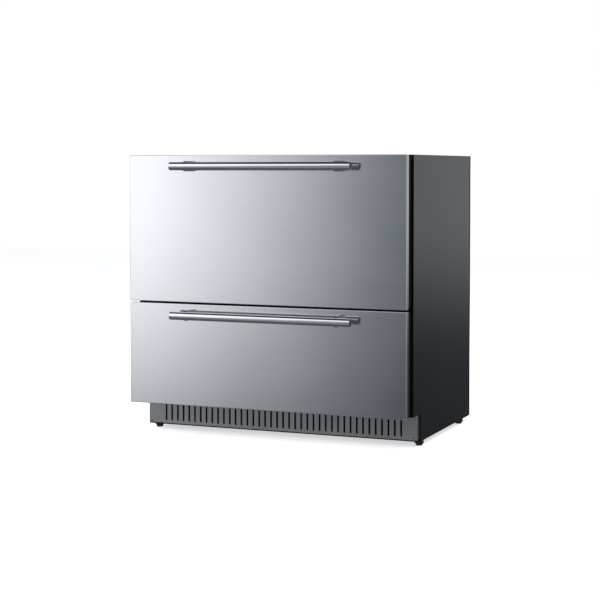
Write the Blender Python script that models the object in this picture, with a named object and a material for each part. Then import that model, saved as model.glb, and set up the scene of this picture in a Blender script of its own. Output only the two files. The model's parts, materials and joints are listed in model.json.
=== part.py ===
"""Under-counter refrigerator with two drawers, built as an assembly of separate pieces.

Frame: metres, +Z up, X along the width, and the drawers open towards -Y. The origin is on the
floor, at the centre of the footprint, handles included. Depths in this file are measured from the
drawer fronts' outer face towards the back, and at_depth() turns them into Y.
"""

import math

import bmesh
import bpy
from mathutils import Matrix, Vector

# Whole object
WIDTH = 0.900
HEIGHT = 0.866
DEPTH = 0.660  # outer face of the drawer fronts to the back of the cabinet
GAP = 0.0003  # left between pieces that touch

# Handles
BAR_RADIUS = 0.0125
BAR_LENGTH = 0.583
BAR_STANDOFF = 0.037  # drawer face to the bar's axis
POST_RADIUS = 0.0155
POST_SPACING = 0.487
POST_REACH = 0.030
UPPER_BAR_HEIGHT = 0.8325
LOWER_BAR_HEIGHT = 0.3795

HANDLE_REACH = BAR_STANDOFF + BAR_RADIUS
FACE_Y = -(DEPTH - HANDLE_REACH) / 2
HALF_WIDTH = WIDTH / 2

# Drawer fronts
FRONT_BOTTOM = 0.1015
FRONTS_MEET = 0.4152  # middle of the gap between the two fronts
FRONTS_GAP = 0.005
SKIN_DEPTH = 0.0175
SKIN_WALL = 0.0012
INNER_PANEL_INSET = 0.004
INNER_PANEL_BACK = 0.051
GASKET_INSET = 0.008
GASKET_WIDTH = 0.017

# Cabinet
SHELL = 0.0015  # sheet of the outer panels
CABINET_FRONT = 0.0641
CABINET_BOTTOM = 0.0165
NOTCH_DEPTH = 0.137  # toe space cut out of each side panel
NOTCH_TOP = 0.098
FLOOR_UNDERSIDE = 0.100

# Cooled space, and the machine space under its rear step
CAVITY_HALF_WIDTH = 0.405
CAVITY_FLOOR = 0.135
CAVITY_CEILING = 0.822
CAVITY_BACK = 0.605
STEP_DEPTH = 0.395
STEP_TOP = 0.330
LINER_WALL = 0.003
LINER_FLANGE = 0.002
MACHINE_FRONT = 0.430
MACHINE_TOP = 0.290
RAIL_BOTTOM = 0.386
RAIL_TOP = 0.446
RAIL_DEPTH = 0.034
FRAME_SHEET = 0.002
FLANGE_FRONT = CABINET_FRONT + FRAME_SHEET + GAP

# Kick grille
GRILLE_DEPTH = 0.1145
GRILLE_INSET = 0.0045
GRILLE_SHEET = 0.0015
GRILLE_BOTTOM = 0.0185
GRILLE_TOP = 0.0975
GRILLE_RETURN = 0.038
SLOT_COUNT = 40
SLOT_PITCH = 0.020
SLOT_WIDTH = 0.006
SLOT_BOTTOM = 0.0305
SLOT_TOP = 0.0825
SLOT_SHIFT = 0.006  # the row of slots sits slightly to the right of the middle

# Feet
FOOT_INSET = 0.015
FOOT_FRONT_DEPTH = 0.167
FOOT_REAR_DEPTH = 0.583
FOOT_RADIUS = 0.014
FOOT_STEM_RADIUS = 0.004
FOOT_STEM_TOP = 0.052

# Drawers and their telescopic slides
TUB_HALF_WIDTH = 0.3912
TUB_WALL = 0.003
TUB_FRONT = INNER_PANEL_BACK + GAP
SLIDE_FRONT = 0.075
SLIDE_HALF_HEIGHT = 0.0225
SLIDE_SHEET = 0.0015
DRAWERS = {
    "upper": {
        "front": (FRONTS_MEET + FRONTS_GAP / 2, HEIGHT),
        "bar": UPPER_BAR_HEIGHT,
        "tub": (0.452, 0.725),
        "tub_back": 0.525,
        "slide": 0.482,
        "slide_back": 0.525,
    },
    "lower": {
        "front": (FRONT_BOTTOM, FRONTS_MEET - FRONTS_GAP / 2),
        "bar": LOWER_BAR_HEIGHT,
        "tub": (0.145, 0.345),
        "tub_back": 0.383,
        "slide": 0.175,
        "slide_back": 0.383,
    },
}

# Fans: centre of the blades, as x, depth and height
CONDENSER_FAN = (-0.255, 0.545, 0.128)
CONDENSER_FAN_RADIUS = 0.070
EVAPORATOR_FAN = (0.0, 0.562, 0.665)
EVAPORATOR_FAN_RADIUS = 0.055
FAN_HUB_RADIUS = 0.018
FAN_HUB_HALF_LENGTH = 0.010
FAN_BLADES = 5
BLADE_PITCH = math.radians(32)
BLADE_THICKNESS = 0.002
MOTOR_CLEARANCE = 0.002  # between a fan's hub and its motor
BLADE_SECTIONS = ((0.35, 0.018), (1.0, 0.024))  # share of the way to the tip, and chord

# Compressor
COMPRESSOR_X = 0.220
COMPRESSOR_DEPTH = 0.545
COMPRESSOR_RADIUS = 0.075
COMPRESSOR_BASE = 0.0310
COMPRESSOR_TOP = 0.2147
DISCHARGE_RADIUS = 0.0035

# Controls, on the ceiling behind the upper drawer front
CONTROL_HALF_WIDTH = 0.110
CONTROL_DEPTHS = (0.075, 0.110)
CONTROL_HEIGHTS = (0.790, CAVITY_CEILING - GAP)
BUTTON_RADIUS = 0.006
BUTTON_LENGTH = 0.006
BUTTON_PROUD = 0.0015
BUTTON_X = {"button_down": 0.045, "button_up": 0.065, "button_power": 0.090}

MATERIALS = {
    "brushed_stainless": ((0.62, 0.63, 0.65), 0.30, 1.0),
    "polished_stainless": ((0.66, 0.67, 0.69), 0.18, 1.0),
    "grille_stainless": ((0.40, 0.41, 0.43), 0.38, 1.0),
    "cabinet_black": ((0.020, 0.022, 0.025), 0.35, 0.0),
    "trim_black": ((0.012, 0.012, 0.013), 0.55, 0.0),
    "gasket_rubber": ((0.015, 0.015, 0.016), 0.80, 0.0),
    "foot_plastic": ((0.018, 0.018, 0.019), 0.60, 0.0),
    "liner_white": ((0.78, 0.79, 0.79), 0.40, 0.0),
    "foam_cream": ((0.72, 0.66, 0.47), 0.90, 0.0),
    "tub_grey": ((0.50, 0.51, 0.53), 0.45, 0.0),
    "zinc_steel": ((0.52, 0.53, 0.55), 0.42, 1.0),
    "coil_aluminium": ((0.70, 0.71, 0.72), 0.35, 1.0),
    "compressor_black": ((0.025, 0.025, 0.027), 0.45, 0.0),
    "copper": ((0.72, 0.36, 0.22), 0.30, 1.0),
    "fan_plastic": ((0.06, 0.06, 0.065), 0.50, 0.0),
    "display_glass": ((0.01, 0.01, 0.012), 0.10, 0.0),
    "button_plastic": ((0.30, 0.31, 0.32), 0.45, 0.0),
    "lamp_lens": ((0.90, 0.91, 0.92), 0.25, 0.0),
}


def at_depth(depth):
    """Y of a depth behind the drawer fronts' outer face."""
    return FACE_Y + depth


def clear_scene():
    for item in list(bpy.data.objects):
        bpy.data.objects.remove(item, do_unlink=True)


def make_material(name):
    colour, roughness, metallic = MATERIALS[name]
    material = bpy.data.materials.get(name) or bpy.data.materials.new(name)
    material.use_nodes = True
    shader = material.node_tree.nodes["Principled BSDF"]
    shader.inputs["Base Color"].default_value = (*colour, 1.0)
    shader.inputs["Roughness"].default_value = roughness
    shader.inputs["Metallic"].default_value = metallic
    return material


def make_body(name, location=(0.0, 0.0, 0.0)):
    """An empty that carries the pieces of one moving body, on that body's joint axis."""
    empty = bpy.data.objects.new(name, None)
    empty.location = location
    bpy.context.scene.collection.objects.link(empty)
    return empty


def add_object(name, data, body, material, location=(0.0, 0.0, 0.0), rotation=None):
    """Links a new object under its body, with its location given in world axes."""
    item = bpy.data.objects.new(name, data)
    data.materials.append(make_material(material))
    bpy.context.scene.collection.objects.link(item)
    item.parent = body
    item.location = Vector(location) - body.location
    if rotation:
        item.rotation_euler = rotation
    return item


def mesh_from(bm, name, smooth=False):
    bmesh.ops.recalc_face_normals(bm, faces=bm.faces)
    mesh = bpy.data.meshes.new(name)
    bm.to_mesh(mesh)
    bm.free()
    if smooth:
        mesh.shade_smooth()
        mesh.set_sharp_from_angle(angle=math.radians(35))
    return mesh


def block_mesh(size):
    bm = bmesh.new()
    bmesh.ops.create_cube(bm, size=1.0)
    bmesh.ops.scale(bm, vec=size, verts=bm.verts)
    return bm


def block(name, low, high, body, material):
    """A plain rectangular piece between two corners."""
    low, high = Vector(low), Vector(high)
    mesh = mesh_from(block_mesh(high - low), name)
    return add_object(name, mesh, body, material, (low + high) / 2)


def tray(name, low, high, wall, open_side, body, material):
    """A block hollowed out from one side, with walls and bottom of one thickness."""
    low, high = Vector(low), Vector(high)
    direction = Vector(open_side)
    bm = block_mesh(high - low)
    bm.normal_update()
    mouth = next(face for face in bm.faces if face.normal.dot(direction) > 0.9)
    bmesh.ops.inset_region(bm, faces=[mouth], thickness=wall, use_even_offset=True)
    bottom = bmesh.ops.extrude_discrete_faces(bm, faces=[mouth])["faces"][0]
    drop = abs((high - low).dot(direction)) - wall
    bmesh.ops.translate(bm, verts=bottom.verts, vec=-direction * drop)
    return add_object(name, mesh_from(bm, name), body, material, (low + high) / 2)


def prism_mesh(axis, outline, start, end):
    """A closed outline extruded along an axis. Its points are the other two axes, in X, Y, Z order."""
    order = {"X": (1, 2, 0), "Y": (0, 2, 1), "Z": (0, 1, 2)}[axis]
    bm = bmesh.new()
    corners = []
    for first, second in outline:
        point = Vector()
        point[order[0]], point[order[1]], point[order[2]] = first, second, start
        corners.append(bm.verts.new(point))
    face = bm.faces.new(corners)
    extruded = bmesh.ops.extrude_face_region(bm, geom=[face])["geom"]
    shift = Vector()
    shift[order[2]] = end - start
    moved = [item for item in extruded if isinstance(item, bmesh.types.BMVert)]
    bmesh.ops.translate(bm, verts=moved, vec=shift)
    return bm


def prism(name, axis, outline, start, end, body, material):
    mesh = mesh_from(prism_mesh(axis, outline, start, end), name)
    mesh.transform(Matrix.Translation(-body.location))
    return add_object(name, mesh, body, material, body.location)


def window_plate(name, columns, rows, depths, is_open, body, material):
    """An upright sheet made of a grid of cells in X and Z. is_open(column, row) leaves a cell out."""
    bm = bmesh.new()
    corners = {}

    def corner(column, row, side):
        key = (column, row, side)
        if key not in corners:
            corners[key] = bm.verts.new((columns[column], at_depth(depths[side]), rows[row]))
        return corners[key]

    def solid(column, row):
        inside = 0 <= column < len(columns) - 1 and 0 <= row < len(rows) - 1
        return inside and not is_open(column, row)

    for i in range(len(columns) - 1):
        for j in range(len(rows) - 1):
            if not solid(i, j):
                continue
            ring = [(i, j), (i + 1, j), (i + 1, j + 1), (i, j + 1)]
            for side in (0, 1):
                bm.faces.new([corner(a, b, side) for a, b in ring])
            outside = [(i, j - 1), (i + 1, j), (i, j + 1), (i - 1, j)]
            for edge, neighbour in enumerate(outside):
                if not solid(*neighbour):
                    a, b = ring[edge], ring[(edge + 1) % 4]
                    wall = [corner(*a, 0), corner(*b, 0), corner(*b, 1), corner(*a, 1)]
                    bm.faces.new(wall)
    bmesh.ops.recalc_face_normals(bm, faces=bm.faces)
    mesh = bpy.data.meshes.new(name)
    bm.to_mesh(mesh)
    bm.free()
    mesh.transform(Matrix.Translation(-body.location))
    return add_object(name, mesh, body, material, body.location)


def slotted_edges(first, last, count, pitch, width):
    """Grid lines of a row of equal slots, centred between two outer edges."""
    middle = (first + last) / 2
    lines = [first]
    for index in range(count):
        centre = middle + (index - (count - 1) / 2) * pitch
        lines += [centre - width / 2, centre + width / 2]
    return lines + [last]


def turned(name, profile, steps, body, material, location, rotation=None):
    """A profile of (radius, height) points turned round the local Z axis, ends on the axis."""
    bm = bmesh.new()
    points = [bm.verts.new((radius, 0.0, height)) for radius, height in profile]
    edges = [bm.edges.new(pair) for pair in zip(points, points[1:])]
    bmesh.ops.spin(
        bm,
        geom=points + edges,
        cent=(0.0, 0.0, 0.0),
        axis=(0.0, 0.0, 1.0),
        angle=2 * math.pi,
        steps=steps,
        use_duplicate=False,
    )
    bmesh.ops.remove_doubles(bm, verts=bm.verts, dist=1e-6)
    mesh = mesh_from(bm, name, smooth=True)
    return add_object(name, mesh, body, material, location, rotation)


def cutter(name, mesh, body, location=(0.0, 0.0, 0.0), rotation=None):
    item = add_object(name, mesh, body, "trim_black", location, rotation)
    item.hide_render = True
    item.display_type = "WIRE"
    return item


def combine(piece, other, operation):
    modifier = piece.modifiers.new(other.name, "BOOLEAN")
    modifier.operation = operation
    modifier.solver = "EXACT"
    modifier.object = other


def rod_mesh(name, radius, length, steps):
    """A plain cylinder along local Z, centred."""
    bm = bmesh.new()
    bmesh.ops.create_cone(
        bm, cap_ends=True, segments=steps, radius1=radius, radius2=radius, depth=length
    )
    return mesh_from(bm, name, smooth=True)


ALONG_X = (0.0, math.pi / 2, 0.0)
ALONG_Y = (math.pi / 2, 0.0, 0.0)


# ---------------------------------------------------------------- cabinet


def side_panels(cabinet):
    """Flat side sheets, notched at the lower front for the toe space."""
    outline = [
        (at_depth(CABINET_FRONT), NOTCH_TOP),
        (at_depth(NOTCH_DEPTH), NOTCH_TOP),
        (at_depth(NOTCH_DEPTH), CABINET_BOTTOM),
        (at_depth(DEPTH), CABINET_BOTTOM),
        (at_depth(DEPTH), HEIGHT),
        (at_depth(CABINET_FRONT), HEIGHT),
    ]
    for name, side in (("side_panel_left", -1), ("side_panel_right", 1)):
        start, end = side * (HALF_WIDTH - SHELL), side * HALF_WIDTH
        prism(name, "X", outline, start, end, cabinet, "cabinet_black")


def outer_sheets(cabinet):
    """Top, back, bottom plate over the toe space, and the base pan that carries the feet."""
    half = HALF_WIDTH - SHELL - GAP
    front = at_depth(CABINET_FRONT) + GAP
    back = at_depth(DEPTH) - GAP
    inner_back = back - SHELL - GAP
    block(
        "top_panel",
        (-half, front, HEIGHT - SHELL),
        (half, back, HEIGHT),
        cabinet,
        "cabinet_black",
    )
    block(
        "back_panel",
        (-half, back - SHELL, MACHINE_TOP + GAP),
        (half, back, HEIGHT - SHELL - GAP),
        cabinet,
        "zinc_steel",
    )
    block(
        "bottom_plate",
        (-half, at_depth(CABINET_FRONT), FLOOR_UNDERSIDE - SHELL - GAP),
        (half, at_depth(MACHINE_FRONT) - GAP, FLOOR_UNDERSIDE - GAP),
        cabinet,
        "cabinet_black",
    )
    pan_front = at_depth(GRILLE_DEPTH + GRILLE_RETURN) + GAP
    pan = block(
        "base_pan",
        (-half, pan_front, CABINET_BOTTOM),
        (half, inner_back, CABINET_BOTTOM + SHELL),
        cabinet,
        "cabinet_black",
    )
    for name, x, depth in foot_places():
        mesh = rod_mesh(name + "_hole", FOOT_STEM_RADIUS + 0.001, 4 * SHELL, 16)
        location = (x, at_depth(depth), CABINET_BOTTOM)
        combine(pan, cutter(name + "_hole", mesh, cabinet, location), "DIFFERENCE")


def cavity_outline(grow):
    """Side outline of the cooled space with its rear step, grown outwards by a wall."""
    front = at_depth(CABINET_FRONT - 0.010)
    return [
        (front, CAVITY_FLOOR - grow),
        (at_depth(STEP_DEPTH) + grow, CAVITY_FLOOR - grow),
        (at_depth(STEP_DEPTH) + grow, STEP_TOP - grow),
        (at_depth(CAVITY_BACK) + grow, STEP_TOP - grow),
        (at_depth(CAVITY_BACK) + grow, CAVITY_CEILING + grow),
        (front, CAVITY_CEILING + grow),
    ]


def liner_and_foam(cabinet):
    """The white inner liner with its front flange, and the foam between it and the outer sheets."""
    half = HALF_WIDTH - SHELL - GAP
    front = at_depth(FLANGE_FRONT)
    flange_back = front + LINER_FLANGE
    top = HEIGHT - SHELL - GAP
    liner = block(
        "inner_liner",
        (-half, front, FLOOR_UNDERSIDE),
        (half, flange_back, top),
        cabinet,
        "liner_white",
    )
    grown = CAVITY_HALF_WIDTH + LINER_WALL
    shell_outline = cavity_outline(LINER_WALL)
    shell_outline[0] = (front + LINER_FLANGE / 2, shell_outline[0][1])
    shell_outline[-1] = (front + LINER_FLANGE / 2, shell_outline[-1][1])
    shell_mesh = mesh_from(prism_mesh("X", shell_outline, -grown, grown), "liner_shell")
    combine(liner, cutter("liner_shell", shell_mesh, cabinet), "UNION")
    hollow = prism_mesh("X", cavity_outline(0.0), -CAVITY_HALF_WIDTH, CAVITY_HALF_WIDTH)
    hollow_cutter = cutter("liner_hollow", mesh_from(hollow, "liner_hollow"), cabinet)
    combine(liner, hollow_cutter, "DIFFERENCE")

    foam_outline = [
        (flange_back + GAP, FLOOR_UNDERSIDE),
        (at_depth(MACHINE_FRONT), FLOOR_UNDERSIDE),
        (at_depth(MACHINE_FRONT), MACHINE_TOP),
        (at_depth(DEPTH) - SHELL - 3 * GAP, MACHINE_TOP),
        (at_depth(DEPTH) - SHELL - 3 * GAP, top),
        (flange_back + GAP, top),
    ]
    foam = prism("foam_insulation", "X", foam_outline, -half, half, cabinet, "foam_cream")
    pocket_half = grown + GAP
    pocket = prism_mesh("X", cavity_outline(LINER_WALL + GAP), -pocket_half, pocket_half)
    pocket_cutter = cutter("foam_pocket", mesh_from(pocket, "foam_pocket"), cabinet)
    combine(foam, pocket_cutter, "DIFFERENCE")


def front_frame(cabinet):
    """Black frame round the two drawer mouths, which the gaskets close on, and the rail behind its bar."""
    edge = HALF_WIDTH - SHELL - GAP
    mouth = CAVITY_HALF_WIDTH
    window_plate(
        "front_frame",
        [-edge, -mouth, mouth, edge],
        [FLOOR_UNDERSIDE, CAVITY_FLOOR, RAIL_BOTTOM, RAIL_TOP, CAVITY_CEILING, HEIGHT - SHELL - GAP],
        (CABINET_FRONT, CABINET_FRONT + FRAME_SHEET),
        lambda column, row: column == 1 and row in (1, 3),
        cabinet,
        "trim_black",
    )
    half = CAVITY_HALF_WIDTH - GAP
    front = at_depth(FLANGE_FRONT)
    low = (-half, front, RAIL_BOTTOM)
    high = (half, front + RAIL_DEPTH, RAIL_TOP)
    block("divider_rail", low, high, cabinet, "trim_black")


def kick_grille(cabinet):
    """Slotted stainless sheet over the toe space, with both ends bent back."""
    edge = HALF_WIDTH - GRILLE_INSET
    slots = slotted_edges(-edge, edge, SLOT_COUNT, SLOT_PITCH, SLOT_WIDTH)
    slots[1:-1] = [x + SLOT_SHIFT for x in slots[1:-1]]
    columns = [slots[0], slots[0] + GRILLE_SHEET, *slots[1:-1], slots[-1] - GRILLE_SHEET, slots[-1]]
    rows = [GRILLE_BOTTOM, SLOT_BOTTOM, SLOT_TOP, GRILLE_TOP]
    depths = (GRILLE_DEPTH, GRILLE_DEPTH + GRILLE_SHEET)
    last_slot = 2 * SLOT_COUNT

    def is_slot(column, row):
        return row == 1 and column % 2 == 0 and 2 <= column <= last_slot

    grille = window_plate("kick_grille", columns, rows, depths, is_slot, cabinet, "grille_stainless")
    bm = bmesh.new()
    bm.from_mesh(grille.data)
    bm.normal_update()
    bent = [
        face
        for face in bm.faces
        if face.normal.y > 0.9 and abs(face.calc_center_median().x) > edge - GRILLE_SHEET
    ]
    extruded = bmesh.ops.extrude_face_region(bm, geom=bent)["geom"]
    bmesh.ops.delete(bm, geom=bent, context="FACES")
    moved = [item for item in extruded if isinstance(item, bmesh.types.BMVert)]
    reach = GRILLE_RETURN - GRILLE_SHEET
    bmesh.ops.translate(bm, verts=moved, vec=(0.0, reach, 0.0))
    bm.to_mesh(grille.data)
    bm.free()


def foot_places():
    x = HALF_WIDTH - FOOT_INSET
    return [
        ("foot_front_left", -x, FOOT_FRONT_DEPTH),
        ("foot_front_right", x, FOOT_FRONT_DEPTH),
        ("foot_rear_left", -x, FOOT_REAR_DEPTH),
        ("foot_rear_right", x, FOOT_REAR_DEPTH),
    ]


def feet():
    """Round levelling feet, each on a stem that goes up through the base pan."""
    pad = FOOT_RADIUS * 0.80
    profile = [
        (0.0, 0.0),
        (pad - 0.001, 0.0),
        (pad, 0.001),
        (pad, 0.005),
        (FOOT_RADIUS, 0.0065),
        (FOOT_RADIUS, 0.0140),
        (pad, CABINET_BOTTOM - GAP),
        (FOOT_STEM_RADIUS, CABINET_BOTTOM - GAP),
        (FOOT_STEM_RADIUS, FOOT_STEM_TOP),
        (0.0, FOOT_STEM_TOP),
    ]
    for name, x, depth in foot_places():
        location = (x, at_depth(depth), 0.0)
        body = make_body(name + "_body", location)
        turned(name, profile, 24, body, "foot_plastic", location)


# ---------------------------------------------------------------- drawers


def drawer_front(name, sizes, body):
    """Stainless skin folded back at its edges, the black panel inside it and the gasket ring."""
    bottom, top = sizes["front"]
    tray(
        name + "_front_skin",
        (-HALF_WIDTH, at_depth(0.0), bottom),
        (HALF_WIDTH, at_depth(SKIN_DEPTH), top),
        SKIN_WALL,
        (0, 1, 0),
        body,
        "brushed_stainless",
    )
    edge = HALF_WIDTH - INNER_PANEL_INSET
    block(
        name + "_inner_panel",
        (-edge, at_depth(SKIN_WALL) + GAP, bottom + INNER_PANEL_INSET),
        (edge, at_depth(INNER_PANEL_BACK), top - INNER_PANEL_INSET),
        body,
        "trim_black",
    )
    outer = HALF_WIDTH - GASKET_INSET
    inner = outer - GASKET_WIDTH
    low, high = bottom + GASKET_INSET, top - GASKET_INSET
    window_plate(
        name + "_gasket",
        [-outer, -inner, inner, outer],
        [low, low + GASKET_WIDTH, high - GASKET_WIDTH, high],
        (INNER_PANEL_BACK + GAP, CABINET_FRONT - GAP),
        lambda column, row: column == 1 and row == 1,
        body,
        "gasket_rubber",
    )


def drawer_handle(name, sizes, body):
    """A round bar on two round posts. Each post is hollowed at its end to hold the bar."""
    bar_y = at_depth(-BAR_STANDOFF)
    half = BAR_LENGTH / 2
    chamfer = 0.0012
    profile = [
        (0.0, -half),
        (BAR_RADIUS - chamfer, -half),
        (BAR_RADIUS, -half + chamfer),
        (BAR_RADIUS, half - chamfer),
        (BAR_RADIUS - chamfer, half),
        (0.0, half),
    ]
    location = (0.0, bar_y, sizes["bar"])
    turned(name + "_handle_bar", profile, 32, body, "polished_stainless", location, ALONG_X)
    saddle_mesh = rod_mesh(name + "_saddle", BAR_RADIUS + GAP, BAR_LENGTH, 32)
    saddle = cutter(name + "_saddle", saddle_mesh, body, location, ALONG_X)
    for end, side in (("left", -1), ("right", 1)):
        post_mesh = rod_mesh(name + "_post", POST_RADIUS, POST_REACH - GAP, 32)
        middle = at_depth(-(POST_REACH + GAP) / 2)
        place = (side * POST_SPACING / 2, middle, sizes["bar"])
        post_name = f"{name}_handle_post_{end}"
        post = add_object(post_name, post_mesh, body, "polished_stainless", place, ALONG_Y)
        combine(post, saddle, "DIFFERENCE")


def drawer_tub(name, sizes, body):
    bottom, top = sizes["tub"]
    tray(
        name + "_tub",
        (-TUB_HALF_WIDTH, at_depth(TUB_FRONT), bottom),
        (TUB_HALF_WIDTH, at_depth(sizes["tub_back"]), top),
        TUB_WALL,
        (0, 0, 1),
        body,
        "tub_grey",
    )


def channel(side, web, lips, half_height, height):
    """Outline of a C section in X and Z. Its web is at X web and its lips reach to X lips."""
    sheet = SLIDE_SHEET
    points = [
        (web, -half_height),
        (lips, -half_height),
        (lips, -half_height + sheet),
        (web - sheet, -half_height + sheet),
        (web - sheet, half_height - sheet),
        (lips, half_height - sheet),
        (lips, half_height),
        (web, half_height),
    ]
    return [(side * x, height + z) for x, z in points]


def drawer_slides(name, sizes, cabinet, middle_body, drawer_body):
    """Telescopic slides: the outer member on the liner, one in between, the inner one on the tub."""
    wall = CAVITY_HALF_WIDTH - GAP
    start, end = at_depth(SLIDE_FRONT), at_depth(sizes["slide_back"])
    outer_lips = TUB_HALF_WIDTH + 0.0035
    middle_web = wall - SLIDE_SHEET - GAP
    middle_half = SLIDE_HALF_HEIGHT - SLIDE_SHEET - 2 * GAP
    middle_lips = TUB_HALF_WIDTH + 0.0020
    inner_web = middle_web - SLIDE_SHEET - GAP
    inner_half = middle_half - SLIDE_SHEET - 2 * GAP
    inner_lips = TUB_HALF_WIDTH + GAP
    members = [
        ("outer", cabinet, wall, outer_lips, SLIDE_HALF_HEIGHT),
        ("middle", middle_body, middle_web, middle_lips, middle_half),
        ("inner", drawer_body, inner_web, inner_lips, inner_half),
    ]
    for member, body, web, lips, half_height in members:
        for end_name, side in (("left", -1), ("right", 1)):
            outline = channel(side, web, lips, half_height, sizes["slide"])
            piece_name = f"{name}_slide_{member}_{end_name}"
            prism(piece_name, "Y", outline, start, end, body, "zinc_steel")


# ---------------------------------------------------------------- cooling


def fan_blades(name, body, radius, material, rotation):
    """A hub with blades drawn out of every fourth face of its rim, turned round local Z."""
    sides = 4 * FAN_BLADES
    bm = bmesh.new()
    bmesh.ops.create_cone(
        bm,
        cap_ends=True,
        segments=sides,
        radius1=FAN_HUB_RADIUS,
        radius2=FAN_HUB_RADIUS,
        depth=2 * FAN_HUB_HALF_LENGTH,
    )
    bm.normal_update()
    rim = [face for face in bm.faces if abs(face.normal.z) < 0.1]
    rim.sort(key=lambda face: math.atan2(face.normal.y, face.normal.x))
    along = Vector((0.0, 0.0, 1.0))
    for face in rim[::4]:
        outward = face.normal.copy()
        across = along.cross(outward)
        chord_way = along * math.cos(BLADE_PITCH) + across * math.sin(BLADE_PITCH)
        thick_way = across * math.cos(BLADE_PITCH) - along * math.sin(BLADE_PITCH)
        ring = list(face.verts)
        sides_of = [(math.copysign(1, v.co.z), math.copysign(1, v.co.dot(across))) for v in ring]
        bm.faces.remove(face)
        for reach, chord in BLADE_SECTIONS:
            centre = outward * (FAN_HUB_RADIUS + (radius - FAN_HUB_RADIUS) * reach)
            section = []
            for up, over in sides_of:
                offset = chord_way * up * chord / 2 + thick_way * over * BLADE_THICKNESS / 2
                section.append(bm.verts.new(centre + offset))
            for first in range(4):
                second = (first + 1) % 4
                bm.faces.new((ring[first], ring[second], section[second], section[first]))
            ring = section
        bm.faces.new(ring)
    mesh = mesh_from(bm, name)
    return add_object(name, mesh, body, material, body.location, rotation)


def fans(cabinet):
    """Both fans: each has its blades on a body of their own, and a motor fixed to the cabinet."""
    x, depth, height = CONDENSER_FAN
    body = make_body("condenser_fan", (x, at_depth(depth), height))
    fan_blades("condenser_fan_blade", body, CONDENSER_FAN_RADIUS, "fan_plastic", ALONG_X)
    base = CABINET_BOTTOM + SHELL + GAP
    middle = at_depth(depth)
    motor_outline = [
        (middle - 0.050, base),
        (middle + 0.050, base),
        (middle + 0.050, base + 0.003),
        (middle + 0.006, base + 0.003),
        (middle + 0.006, height - 0.025),
        (middle + 0.025, height - 0.025),
        (middle + 0.025, height + 0.025),
        (middle - 0.025, height + 0.025),
        (middle - 0.025, height - 0.025),
        (middle - 0.006, height - 0.025),
        (middle - 0.006, base + 0.003),
        (middle - 0.050, base + 0.003),
    ]
    start = x + FAN_HUB_HALF_LENGTH + MOTOR_CLEARANCE
    prism("condenser_fan_motor", "X", motor_outline, start, start + 0.035, cabinet, "zinc_steel")

    x, depth, height = EVAPORATOR_FAN
    body = make_body("evaporator_fan", (x, at_depth(depth), height))
    fan_blades("evaporator_fan_blade", body, EVAPORATOR_FAN_RADIUS, "fan_plastic", ALONG_Y)
    front = at_depth(depth) + FAN_HUB_HALF_LENGTH + MOTOR_CLEARANCE
    block(
        "evaporator_fan_motor",
        (x - 0.024, front, height - 0.024),
        (x + 0.024, at_depth(CAVITY_BACK) - GAP, height + 0.024),
        cabinet,
        "zinc_steel",
    )


def comb_outline(low, high, root, tip, count):
    """A comb: a straight back at root from low to high, with fins reaching to tip."""
    pitch = (high - low) / (count - 0.5)
    back = root - (tip - root) * 0.25
    points = [(low, back), (low, tip)]
    for index in range(count - 1):
        start = low + index * pitch + pitch / 2
        points += [(start, tip), (start, root), (start + pitch / 2, root), (start + pitch / 2, tip)]
    return points + [(high, tip), (high, back)]


def coils(cabinet):
    """The finned condenser beside its fan, and the finned evaporator behind its cover."""
    fins = comb_outline(at_depth(0.460), at_depth(0.640), -0.385, -0.305, 16)
    outline = [(x, y) for y, x in fins]
    bottom = CABINET_BOTTOM + SHELL + GAP
    prism("condenser", "Z", outline, bottom, 0.225, cabinet, "coil_aluminium")
    outline = comb_outline(-0.300, 0.300, at_depth(0.592), at_depth(0.556), 24)
    prism("evaporator", "Z", outline, 0.350, 0.560, cabinet, "coil_aluminium")


def evaporator_cover(cabinet):
    """White sheet across the back of the cooled space, slotted low for intake and high for outlet."""
    edge = CAVITY_HALF_WIDTH - GAP
    columns = slotted_edges(-edge, edge, 16, 0.036, 0.020)
    rows = [STEP_TOP + GAP, 0.352, 0.392, 0.730, 0.775, CAVITY_CEILING - GAP]

    def is_slot(column, row):
        return row in (1, 3) and column % 2 == 1

    depths = (0.545, 0.548)
    window_plate("evaporator_cover", columns, rows, depths, is_slot, cabinet, "liner_white")


def compressor(cabinet):
    """Domed compressor shell on a mounting plate, with the tray that catches defrost water on top."""
    radius = COMPRESSOR_RADIUS
    profile = [
        (0.0, COMPRESSOR_BASE),
        (radius * 0.80, COMPRESSOR_BASE),
        (radius, COMPRESSOR_BASE + 0.020),
        (radius, 0.120),
        (radius * 1.05, 0.122),
        (radius * 1.05, 0.128),
        (radius, 0.130),
        (radius * 0.97, 0.165),
        (radius * 0.80, 0.196),
        (radius * 0.45, COMPRESSOR_TOP),
        (0.0, COMPRESSOR_TOP),
    ]
    place = (COMPRESSOR_X, at_depth(COMPRESSOR_DEPTH), 0.0)
    turned("compressor", profile, 28, cabinet, "compressor_black", place)
    plate_half = 0.098
    block(
        "compressor_plate",
        (COMPRESSOR_X - plate_half, place[1] - 0.090, CABINET_BOTTOM + SHELL + GAP),
        (COMPRESSOR_X + plate_half, place[1] + 0.090, COMPRESSOR_BASE - GAP),
        cabinet,
        "zinc_steel",
    )
    tray(
        "drip_tray",
        (COMPRESSOR_X - 0.120, place[1] - 0.085, COMPRESSOR_TOP + GAP),
        (COMPRESSOR_X + 0.120, place[1] + 0.085, COMPRESSOR_TOP + 0.035),
        0.002,
        (0, 0, 1),
        cabinet,
        "trim_black",
    )


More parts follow.
